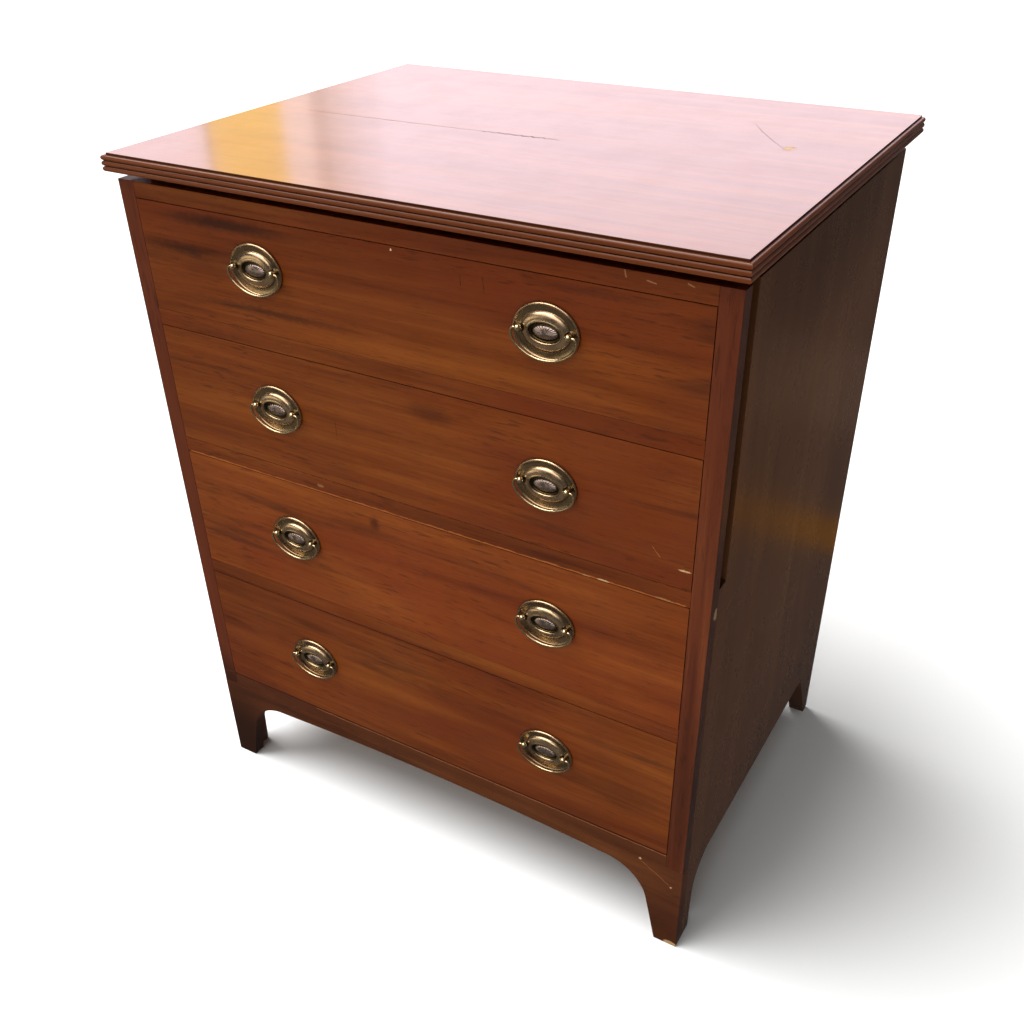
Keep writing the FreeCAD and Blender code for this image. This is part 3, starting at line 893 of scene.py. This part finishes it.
def broad_sun(name, place, spread, strength):
    """Even light over the whole floor from one side, as soft as its spread in degrees."""
    lamp = bpy.data.lights.new(name, "SUN")
    lamp.energy = strength
    lamp.angle = math.radians(spread)
    holder = add_object(name, lamp)
    holder.location = place
    holder.rotation_euler = (-Vector(place)).to_track_quat("-Z", "Y").to_euler()


broad_sun("key", (-4.53, -1.21, 8.83), 48.0, 4.9)
broad_sun("fill", (0.0, -7.0, 7.4), 36.0, 0.7)

AMBIENT = 0.11
world = bpy.data.worlds.new("studio")
bpy.context.scene.world = world
world.use_nodes = True
backdrop = world.node_tree.nodes["Background"]
backdrop.inputs["Color"].default_value = (1.0, 1.0, 1.0, 1.0)
backdrop.inputs["Strength"].default_value = AMBIENT


# Panels that only show mirrored in polish and brass

# Place, aim, width, height, radiance and tint of each panel.
PANELS = (
    ((-2.4, -2.6, 0.8), (0.0, -0.2, 0.5), 1.6, 1.0, 1.5, (1.0, 0.93, 0.74)),
    ((-1.4, -1.9, 0.02), (-1.4, -1.9, 1.0), 3.4, 2.6, 0.2, (1.0, 0.92, 0.84)),
    ((-0.8, -2.4, 2.8), (0.0, -0.3, 0.5), 3.0, 2.0, 2.2, (1.0, 0.93, 0.92)),
    ((1.0, 0.66, 0.012), (1.0, 0.66, 1.0), 1.6, 0.11, 0.52, (1.0, 0.42, 0.07)),
    ((1.1, 1.26, 0.012), (1.1, 1.26, 1.0), 1.8, 0.40, 0.24, (1.0, 0.80, 0.68)),
)
# Left edge, right edge, radiance at the top and tint of each tall card behind the chest.
CARDS = (
    (-2.48, 0.6, 2.85, (1.0, 0.83, 0.90)),
    (-2.60, -2.48, 2.6, (1.0, 0.81, 0.86)),
    (-2.68, -2.60, 2.4, (1.0, 0.79, 0.80)),
    (-2.76, -2.68, 2.2, (1.0, 0.77, 0.74)),
    (-2.86, -2.76, 1.75, (1.0, 0.74, 0.66)),
    (-3.04, -2.86, 2.6, (1.0, 0.76, 0.70)),
    (-3.52, -3.04, 2.5, (1.0, 0.63, 0.20)),
    (-5.2, -3.54, 2.5, (1.0, 0.80, 0.85)),
)
CARD_Y = 3.0
# Lower edge, upper edge and share of the radiance of each band of a card.
CARD_BANDS = (
    (0.6, 1.40, 0.66),
    (1.40, 1.50, 0.75),
    (1.50, 1.62, 0.81),
    (1.62, 1.78, 0.88),
    (1.78, 1.90, 0.95),
    (1.90, 2.90, 1.0),
)


def card_panels():
    """The bands of every card, each as a panel that faces the chest."""
    bands = []
    for x_low, x_high, glow, tint in CARDS:
        x = (x_low + x_high) / 2
        for z_low, z_high, share in CARD_BANDS:
            z = (z_low + z_high) / 2
            bands.append(((x, CARD_Y, z), (x, 0.0, z), x_high - x_low, z_high - z_low, glow * share, tint))
    return bands


def glowing(name, attribute):
    """A material that sends out the colour of a face attribute, and is never sampled as a lamp."""
    material = bpy.data.materials.new(name)
    material.use_nodes = True
    nodes = material.node_tree.nodes
    nodes.clear()
    glow = nodes.new("ShaderNodeAttribute")
    glow.attribute_name = attribute
    light = nodes.new("ShaderNodeEmission")
    output = nodes.new("ShaderNodeOutputMaterial")
    material.node_tree.links.new(glow.outputs["Color"], light.inputs["Color"])
    material.node_tree.links.new(light.outputs["Emission"], output.inputs["Surface"])
    material.cycles.emission_sampling = "NONE"
    return material


def hang_panels(name, panels):
    """One mesh of all the panels, hidden from the camera and from all but mirror light."""
    corners = []
    faces = []
    for place, aim, width, height, _, _ in panels:
        turn = (Vector(aim) - Vector(place)).to_track_quat("-Z", "Y")
        faces.append(tuple(range(len(corners), len(corners) + len(SQUARE))))
        for across, up in SQUARE:
            corners.append(Vector(place) + turn @ Vector((across * width / 2, up * height / 2, 0.0)))
    mesh = bpy.data.meshes.new(name)
    mesh.from_pydata(corners, [], faces)
    glows = mesh.attributes.new("glow", "FLOAT_COLOR", "FACE")
    for face, (_, _, _, _, glow, tint) in enumerate(panels):
        glows.data[face].color = [glow * share for share in tint] + [1.0]
    mesh.materials.append(glowing(name, "glow"))
    hung = add_object(name, mesh)
    hung.visible_camera = False
    hung.visible_diffuse = False
    hung.visible_shadow = False


hang_panels("mirrored_panels", list(PANELS) + card_panels())


# Floor

FLOOR_CLOUDS = (1.3, 3.0, 0.5)
FLOOR_HALF = 15.0
SWEEP_START = 11.0
SWEEP_RADIUS = 3.0
SWEEP_BENDS = 12
SWEEP_TOP = 7.0
SWEEP_STEPS = 96


def floor_finish():
    graph = Graph("pale_floor")
    clouds = graph.speckle(*FLOOR_CLOUDS)
    graph.set(base_color=graph.mix(clouds, linear("f4f4f3"), linear("f8f8f8")))
    graph.set(roughness=0.9, specular_ior_level=0.1)
    return graph.material


def sweep_mesh(name):
    """A round wall that curves up out of the floor."""
    profile = []
    for step in range(SWEEP_BENDS + 1):
        bend = math.pi / 2 * step / SWEEP_BENDS
        reach = SWEEP_START + SWEEP_RADIUS * math.sin(bend)
        profile.append((reach, SWEEP_RADIUS - SWEEP_RADIUS * math.cos(bend)))
    profile.append((SWEEP_START + SWEEP_RADIUS, SWEEP_TOP))
    turns = [2 * math.pi * step / SWEEP_STEPS for step in range(SWEEP_STEPS)]
    points = []
    for reach, rise in profile:
        points += [(reach * math.cos(turn), reach * math.sin(turn), rise) for turn in turns]
    faces = []
    for row in range(0, SWEEP_STEPS * (len(profile) - 1), SWEEP_STEPS):
        above = row + SWEEP_STEPS
        for step in range(SWEEP_STEPS):
            following = (step + 1) % SWEEP_STEPS
            faces.append((row + step, row + following, above + following, above + step))
    mesh = bpy.data.meshes.new(name)
    mesh.from_pydata(points, [], faces)
    mesh.shade_smooth()
    return mesh


pale_floor = floor_finish()
floor_mesh = bpy.data.meshes.new("floor")
floor_mesh.from_pydata([(x * FLOOR_HALF, y * FLOOR_HALF, 0) for x, y in SQUARE], [], [(0, 1, 2, 3)])
floor_mesh.materials.append(pale_floor)
floor = add_object("floor", floor_mesh)
floor.visible_glossy = False

sweep = add_object("floor_sweep", sweep_mesh("floor_sweep"))
sweep.data.materials.append(pale_floor)
sweep.visible_diffuse = False
sweep.visible_glossy = False
sweep.visible_shadow = False


# Camera

CAMERA_PLACE = Vector((0.5733, -0.9903, 1.0565))
CAMERA_AIM = Vector((0.0643, -0.1419, 0.3774))
CAMERA_ROLL = math.radians(-1.0)
CAMERA_SENSOR = 36.0
CAMERA_LENS = 38.27
CAMERA_SHIFT = (-0.0054, 0.0497)
camera_data = bpy.data.cameras.new("camera")
camera_data.sensor_width = CAMERA_SENSOR
camera_data.lens = CAMERA_LENS
camera_data.shift_x, camera_data.shift_y = CAMERA_SHIFT
camera = add_object("camera", camera_data)
look = (CAMERA_AIM - CAMERA_PLACE).to_track_quat("-Z", "Y").to_matrix().to_4x4()
camera.matrix_world = Matrix.Translation(CAMERA_PLACE) @ look @ Matrix.Rotation(CAMERA_ROLL, 4, "Z")
bpy.context.scene.camera = camera
bpy.context.scene.view_settings.view_transform = "Standard"
